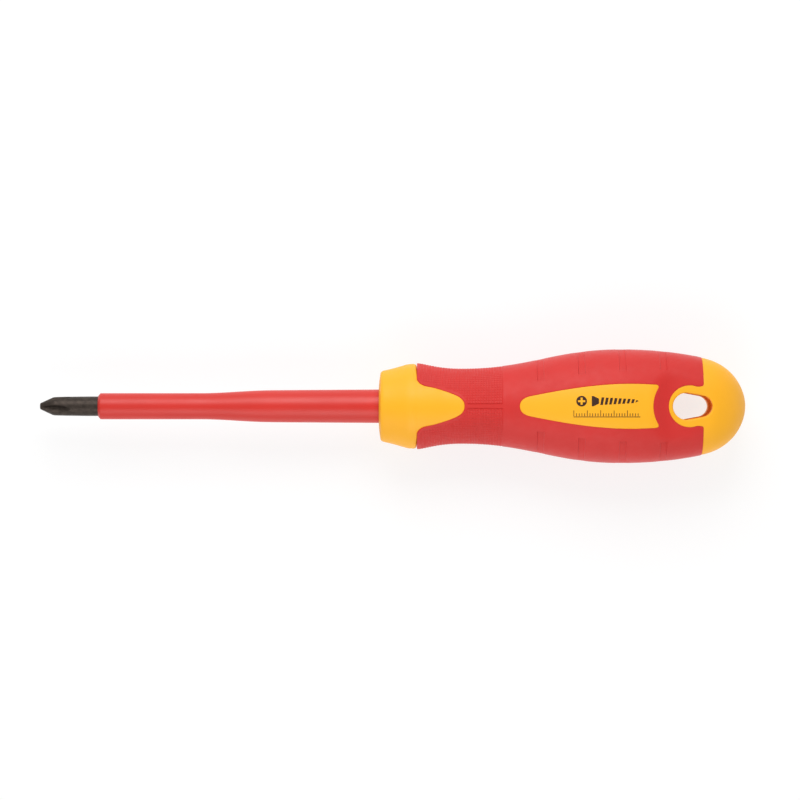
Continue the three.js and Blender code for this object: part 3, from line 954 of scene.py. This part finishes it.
def point_radius(x, angle):
    """The cross point as a radius in every direction: the cone, less four V flutes."""
    envelope = np.interp(x, POINT_LINE[:, 0], POINT_LINE[:, 1])
    turned = np.mod(angle - POINT_TURN, QUARTER) - QUARTER / 2
    off_root = np.sqrt(turned**2 + FLUTE_ROOT_BLEND**2)
    gap = np.maximum(np.sin(FLUTE_HALF_ANGLE - off_root), 1e-3)
    flank = flute_root(x) * math.sin(FLUTE_HALF_ANGLE) / gap
    return soft_minimum(envelope, np.minimum(flank, FLUTE_REACH), FLUTE_EDGE_BLEND)


def blade_mesh():
    """A round bar with the point in front and the flattened key inside the handle."""
    build = bmesh.new()
    angles = np.linspace(0, 2 * math.pi, POINT_SEGMENTS, endpoint=False)
    stations = np.concatenate([
        np.linspace(0, POINT_END_ROUND, 6)[:-1],
        np.linspace(POINT_END_ROUND, POINT_LENGTH, POINT_ROWS),
        np.linspace(POINT_LENGTH + 1, 20, 4),
        [60, KEY_START - 1, KEY_START, KEY_END, KEY_END + 1, BLADE_TAIL - TAIL_CHAMFER, BLADE_TAIL],
    ])
    rings = []
    for x in stations:
        if x <= POINT_LENGTH:
            radius = point_radius(x, angles)
        else:
            radius = np.full(POINT_SEGMENTS, BAR_RADIUS - (TAIL_CHAMFER if x == BLADE_TAIL else 0))
        y, z = radius * np.cos(angles), radius * np.sin(angles)
        if KEY_START <= x <= KEY_END:
            y, z = y * KEY_HALF_WIDTH / BAR_RADIUS, z * KEY_HALF_THICKNESS / BAR_RADIUS
        rings.append([build.verts.new((x * MM, a * MM, b * MM)) for a, b in zip(y, z)])
    for first, second in zip(rings, rings[1:]):
        ring_faces(build, first, second)
    for ring, x in ((rings[0], 0), (rings[-1], BLADE_TAIL)):
        middle = build.verts.new((x * MM, 0, 0))
        for a, b in zip(ring, ring[1:] + ring[:1]):
            build.faces.new((a, b, middle))
    return finished_mesh("blade_fine", build)


# ---------------- the print on the panels

INK_TOP = 0.02
INK_BOTTOM = -0.04
INK_CELL = 0.42
INK_CLEARANCE = 0.45

PICTOGRAM_Y = 1.5
END_VIEW_X = 159.15
END_VIEW_RADIUS = 1.55
END_VIEW_POINTS = 40
END_VIEW_CROSS = (1.05, 0.3)
SCREW_START = 162.1
SCREW_HEAD = ((0, -1.5), (0.5, -1.5), (2.1, -0.72), (2.1, 0.72), (0.5, 1.5), (0, 1.5))
THREAD_START = SCREW_START + 2.45
THREAD_TURNS = 8
THREAD_PITCH = 1.28
THREAD_WIDTH = 0.78
THREAD_SLANT = 0.42
THREAD_HALF_HEIGHT = 1.12
THREAD_TAPER = 0.075
SCREW_TIP = ((0, -0.42), (1.0, 0), (THREAD_SLANT, 0.42))

RULER_Y = -3.1
RULER_START = 156.8
RULER_END = 176.3
RULER_PITCH = 0.78
RULER_LINE = 0.2
RULER_TICK = 1.05
RULER_LONG_TICK = 1.9
RULER_LONG_EVERY = 5


def cross_of(x, y, length, half_width):
    """A plus sign as a closed outline."""
    arm = np.array([(length, -half_width), (length, half_width), (half_width, half_width)])
    quarter_turn = np.array([[0, 1], [-1, 0]])
    arms = []
    for _ in range(4):
        arms.append(arm)
        arm = arm @ quarter_turn
    return np.vstack(arms) + [x, y]


def pictogram():
    """A screw head seen from above beside a wood screw seen from the side, as closed outlines."""
    rim = arc(END_VIEW_X, PICTOGRAM_Y, END_VIEW_RADIUS, 0, 360, END_VIEW_POINTS)[:-1]
    cross = cross_of(END_VIEW_X, PICTOGRAM_Y, *END_VIEW_CROSS)
    shapes = [[rim, cross], [np.array(SCREW_HEAD) + [SCREW_START, PICTOGRAM_Y]]]
    for i in range(THREAD_TURNS):
        half = THREAD_HALF_HEIGHT - THREAD_TAPER * i
        low = [(0, -half), (THREAD_WIDTH, -half)]
        high = [(THREAD_WIDTH + THREAD_SLANT, half), (THREAD_SLANT, half)]
        shapes.append([np.array(low + high) + [THREAD_START + THREAD_PITCH * i, PICTOGRAM_Y]])
    shapes.append([np.array(SCREW_TIP) + [THREAD_START + THREAD_PITCH * THREAD_TURNS, PICTOGRAM_Y]])
    return shapes


def ruler():
    """A fine scale of ticks on a base line, as closed outlines."""
    bars = [(RULER_START, RULER_END, RULER_Y - RULER_LINE / 2, RULER_Y + RULER_LINE / 2)]
    for i, x in enumerate(np.arange(RULER_START, RULER_END, RULER_PITCH)):
        tall = RULER_TICK if i % RULER_LONG_EVERY else RULER_LONG_TICK
        bars.append((x, x + RULER_LINE, RULER_Y + RULER_LINE, RULER_Y + tall))
    return [[np.array([(a, c), (b, c), (b, d), (a, d)])] for a, b, c, d in bars]


def along_outline(corners, step):
    """A closed outline with points no further apart than a step."""
    points = []
    for a, b in zip(corners, np.roll(corners, -1, axis=0)):
        count = max(1, math.ceil(np.linalg.norm(b - a) / step))
        points.append(a + (b - a) * np.arange(count)[:, None] / count)
    return np.vstack(points)


def plate_of(loops):
    """Triangles that fill a shape with holes, on points close enough to follow the panel's curve."""
    loops = [along_outline(loop, INK_CELL) for loop in loops]
    low, high = loops[0].min(0), loops[0].max(0)
    lines = [np.arange(a + INK_CELL / 2, b, INK_CELL) for a, b in zip(low, high)]
    inner = np.column_stack([g.ravel() for g in np.meshgrid(*lines)])
    edges, start = [], 0
    for loop in loops:
        count = len(loop)
        edges += [(start + i, start + (i + 1) % count) for i in range(count)]
        start += count
        gap = np.linalg.norm(inner[:, None] - loop[None], axis=2).min(1)
        inner = inner[gap > INK_CELL * INK_CLEARANCE]
    points = np.vstack([*loops, inner])
    _, _, faces, own, _, _ = delaunay_2d_cdt([Vector(p) for p in points], edges, [], 0, 1e-6, True)
    faces = np.array([[min(own[i]) for i in face] for face in faces])
    middle = points[faces].mean(1)
    inside = np.zeros(len(faces), bool)
    for loop in loops:
        inside ^= inside_polygon(middle[:, 0], middle[:, 1], loop)
    return used(points, faces[inside])[:2]


def ink_mesh():
    """Thin closed plates lying on both panels; the back is the front turned over about the axis."""
    build = bmesh.new()
    for shape in pictogram() + ruler():
        points, faces = plate_of(shape)
        x, y = points.T
        psi = psi_at(x, np.maximum(np.abs(y), 1e-6), hard_half_width(x))
        base = surface(t_of(x), psi, False)
        normal = outward(t_of(x), psi, False)
        side = np.where(y < 0, -1, 1)[:, None] * [0, 1, 0] + [1, 0, 1]
        sides = [(a, b) for face in faces for a, b in zip(face, np.roll(face, -1))]
        shared = set(sides)
        for turn in ([1, 1, 1], [1, -1, -1]):
            top, bottom = (
                [build.verts.new(p) for p in (base + normal * height) * side * turn * MM]
                for height in (INK_TOP, INK_BOTTOM)
            )
            for face in faces:
                build.faces.new([top[i] for i in face])
                build.faces.new([bottom[i] for i in face[::-1]])
            for a, b in sides:
                if (b, a) not in shared:
                    build.faces.new([top[b], top[a], bottom[a], bottom[b]])
    return finished_mesh("print_fine", build)


# ---------------- materials

# Socket numbers of a colour mix node, where several sockets share a name.
MIX_FACTOR, MIX_FIRST, MIX_SECOND, MIX_RESULT = 0, 6, 7, 2

# The range that most of a noise's values lie in, and a narrower one for more contrast.
NOISE_RANGE = (0.3, 0.7)
STEEL_NOISE_RANGE = (0.32, 0.68)


def mapped(nodes, link, value, source, target):
    """A value mapped from one range to another, held inside it."""
    node = nodes.new("ShaderNodeMapRange")
    for name, number in zip(("From Min", "From Max", "To Min", "To Max"), (*source, *target)):
        node.inputs[name].default_value = number
    link(value, node.inputs["Value"])
    return node.outputs["Result"]


class Shader:
    """A material with one Principled shader, and short ways to add procedural detail to it."""

    def __init__(self, name, roughness, metallic=0.0, ior=1.5):
        self.material = bpy.data.materials.new(name)
        self.material.use_nodes = True
        self.nodes = self.material.node_tree.nodes
        self.link = self.material.node_tree.links.new
        self.shader = self.nodes["Principled BSDF"]
        self.shader.inputs["Roughness"].default_value = roughness
        self.shader.inputs["Metallic"].default_value = metallic
        self.shader.inputs["IOR"].default_value = ior
        self.place = self.nodes.new("ShaderNodeTexCoord").outputs["Object"]

    def noise(self, size_mm, detail=3, stretch=(1, 1, 1)):
        """Noise with features of about that size. Stretch makes them longer along an axis."""
        mapping = self.nodes.new("ShaderNodeMapping")
        mapping.inputs["Scale"].default_value = [1 / (size_mm * MM * s) for s in stretch]
        noise = self.nodes.new("ShaderNodeTexNoise")
        noise.inputs["Scale"].default_value = 1.0
        noise.inputs["Detail"].default_value = detail
        self.link(self.place, mapping.inputs["Vector"])
        self.link(mapping.outputs["Vector"], noise.inputs["Vector"])
        return noise.outputs["Fac"]

    def colours(self, factor, first, second):
        """Blends two colours, given in linear light, by a factor."""
        mix = self.nodes.new("ShaderNodeMix")
        mix.data_type = "RGBA"
        mix.inputs[MIX_FIRST].default_value = (*first, 1)
        mix.inputs[MIX_SECOND].default_value = (*second, 1)
        self.link(factor, mix.inputs[MIX_FACTOR])
        self.link(mix.outputs[MIX_RESULT], self.shader.inputs["Base Color"])

    def mottled(self, noise, first, second, source=NOISE_RANGE):
        """Blends two colours by a noise."""
        self.colours(mapped(self.nodes, self.link, noise, source, (0, 1)), first, second)

    def shaded(self, noise, base, darker, lighter):
        """One colour that a noise makes darker and lighter, by shares of it."""
        self.mottled(noise, *(tuple(c * share for c in base) for share in (darker, lighter)))

    def rough(self, noise, low, high):
        """Roughness that a noise varies."""
        result = mapped(self.nodes, self.link, noise, NOISE_RANGE, (low, high))
        self.link(result, self.shader.inputs["Roughness"])

    def bump(self, *layers):
        """Bump from several noises, each given with its height in millimetres."""
        before = None
        for height, depth_mm in layers:
            node = self.nodes.new("ShaderNodeBump")
            node.inputs["Distance"].default_value = depth_mm * MM
            self.link(height, node.inputs["Height"])
            if before:
                self.link(before, node.inputs["Normal"])
            before = node.outputs["Normal"]
        self.link(before, self.shader.inputs["Normal"])


def soft_red():
    """Soft moulded grip: matt, with the fine eroded texture of its mould."""
    s = Shader("soft_red", 0.58)
    s.shaded(s.noise(9, 4), (0.62, 0.015, 0.011), 0.965, 1.03)
    s.rough(s.noise(2.2), 0.54, 0.63)
    s.bump((s.noise(0.16, 2), 0.012), (s.noise(1.1, 2), 0.01))
    s.shader.inputs["Sheen Weight"].default_value = 0.17
    s.shader.inputs["Sheen Roughness"].default_value = 0.4
    return s.material


def hard_yellow():
    """Hard moulded body: smoother, a little gloss."""
    s = Shader("hard_yellow", 0.5)
    s.shaded(s.noise(11), (0.98, 0.445, 0.003), 0.98, 1.01)
    s.rough(s.noise(3), 0.46, 0.55)
    s.bump((s.noise(0.22, 2), 0.005), (s.noise(2.5, 2), 0.008))
    return s.material


def sleeve_red():
    """Insulation moulded over the bar: glossier, with faint flow marks along it."""
    s = Shader("sleeve_gloss_red", 0.4)
    s.shaded(s.noise(7, 3, (3, 1, 1)), (0.64, 0.025, 0.016), 0.96, 1.03)
    s.rough(s.noise(2, 3, (4, 1, 1)), 0.37, 0.45)
    s.bump((s.noise(0.2, 2, (6, 1, 1)), 0.004), (s.noise(1.6, 2, (3, 1, 1)), 0.008))
    return s.material


def core_red():
    """The core's plastic, cut through by the hole. Its colour holds painted light: it is lighter and more
    orange than the core's red, standing in for the little light that reaches the hole's wall.
    """
    s = Shader("core_hard_painted_light", 0.45)
    # Painted light: this base is lighter and more orange than the red core, in place of light that barely
    # reaches the hole's wall.
    s.shaded(s.noise(2), (0.97, 0.4, 0.09), 0.92, 1.05)
    s.bump((s.noise(0.3, 2), 0.01))
    s.shader.inputs["Specular IOR Level"].default_value = 0.0
    return s.material


def black_oxide():
    """Black oxide steel with the fine rings that turning leaves."""
    s = Shader("black_oxide_steel", 0.47, metallic=0.75)
    s.mottled(s.noise(1.1, 4), (0.043, 0.0325, 0.0265), (0.071, 0.054, 0.044), STEEL_NOISE_RANGE)
    s.rough(s.noise(0.5), 0.42, 0.54)
    s.bump((s.noise(0.06, 2, (1, 16, 16)), 0.006), (s.noise(0.25, 2), 0.006))
    return s.material


def print_ink():
    """Pad-printed ink, nearly black."""
    s = Shader("print_ink", 0.6, ior=1.35)
    s.mottled(s.noise(0.5), (0.036, 0.014, 0.006), (0.055, 0.022, 0.01))
    s.rough(s.noise(0.4, 2), 0.5, 0.62)
    return s.material


# ---------------- stage, light and camera

CAMERA_X = 0.1062
CAMERA_Y = 0.00184
CAMERA_HEIGHT = 1.161
CAMERA_LENS = 177.0
CAMERA_SENSOR = 36
LIGHT_AIM = (0.1, 0, 0)
SOFT_BOX_SIZE = (0.3, 0.25)
FLOOR_HALF_SIZE = 2.0
FLOOR_GLOW = 0.74
SURROUND_LOW = 0.84
SURROUND_TOP = 0.33


def added(name, data):
    """A new object of the scene."""
    piece = bpy.data.objects.new(name, data)
    bpy.context.scene.collection.objects.link(piece)
    return piece


def floor_material():
    """Pale and matt, with a glow that keeps it near white."""
    s = Shader("floor_pale", 0.8)
    s.colours(s.noise(400, 2), (0.26, 0.26, 0.26), (0.27, 0.27, 0.27))
    s.shader.inputs["Specular IOR Level"].default_value = 0.2
    s.shader.inputs["Emission Color"].default_value = (1, 1, 1, 1)
    s.shader.inputs["Emission Strength"].default_value = FLOOR_GLOW
    return s.material


def make_floor(z):
    """One flat square at that height."""
    h = FLOOR_HALF_SIZE
    mesh = bpy.data.meshes.new("floor")
    mesh.from_pydata([(-h, -h, z), (h, -h, z), (h, h, z), (-h, h, z)], [], [(0, 1, 2, 3)])
    mesh.materials.append(floor_material())
    return added("floor", mesh)


def soft_box(name, place, size, power):
    """A rectangular area light that looks at the middle of the tool."""
    light = bpy.data.lights.new(name, "AREA")
    light.shape = "RECTANGLE"
    light.size, light.size_y = size
    light.energy = power
    lamp = added(name, light)
    lamp.location = place
    lamp.rotation_euler = (Vector(LIGHT_AIM) - Vector(place)).to_track_quat("-Z", "Y").to_euler()
    lamp.visible_camera = False


def make_light():
    """Two soft boxes beside the tool, and a white surround that is dimmer overhead."""
    soft_box("key_softbox", place=(0.1, 0.27, 0.28), size=SOFT_BOX_SIZE, power=1.0)
    soft_box("fill_softbox", place=(0.1, -0.28, 0.27), size=SOFT_BOX_SIZE, power=0.54)
    world = bpy.data.worlds.new("studio")
    world.use_nodes = True
    nodes, link = world.node_tree.nodes, world.node_tree.links.new
    direction = nodes.new("ShaderNodeTexCoord").outputs["Generated"]
    split = nodes.new("ShaderNodeSeparateXYZ")
    link(direction, split.inputs["Vector"])
    strength = mapped(nodes, link, split.outputs["Z"], (0, 1), (SURROUND_LOW, SURROUND_TOP))
    background = nodes["Background"]
    background.inputs["Color"].default_value = (1, 1, 1, 1)
    link(strength, background.inputs["Strength"])
    bpy.context.scene.world = world


def make_camera():
    """Straight down on the broad face."""
    data = bpy.data.cameras.new("camera")
    data.lens = CAMERA_LENS
    data.sensor_width = CAMERA_SENSOR
    camera = added("camera", data)
    camera.location = (CAMERA_X, CAMERA_Y, CAMERA_HEIGHT)
    bpy.context.scene.camera = camera


# ---------------- the assembly


SHARP_DEGREES = 35
BLADE_SHARP_DEGREES = 28


def place(name, mesh, material, node=None, slot=None, sharp_degrees=SHARP_DEGREES):
    """Adds a piece to the tool, in place of a CAD node where one is given."""
    piece = added(name, mesh)
    mesh.shade_smooth()
    mesh.set_sharp_from_angle(angle=math.radians(sharp_degrees))
    mesh.materials.append(material)
    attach(piece, "root")
    if node:
        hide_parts(node)


make_camera()
place("blade_look", blade_mesh(), black_oxide(), "blade", "blade_steel", BLADE_SHARP_DEGREES)
place("blade_sleeve_look", sleeve_mesh(), sleeve_red(), "blade_sleeve", "sleeve_red")
place("handle_core_look", handle_core_mesh(), core_red(), "handle_core", "core_red")
place("handle_body_look", handle_body_mesh(), hard_yellow(), "handle_body", "body_yellow")
place("soft_grip_look", soft_grip_mesh(), soft_red(), "soft_grip", "grip_red")
place("print_look", ink_mesh(), print_ink())

visual_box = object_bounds()
floor = make_floor(min(cad_box[0].z, visual_box[0].z))
make_light()
bpy.context.scene.view_settings.view_transform = "Standard"
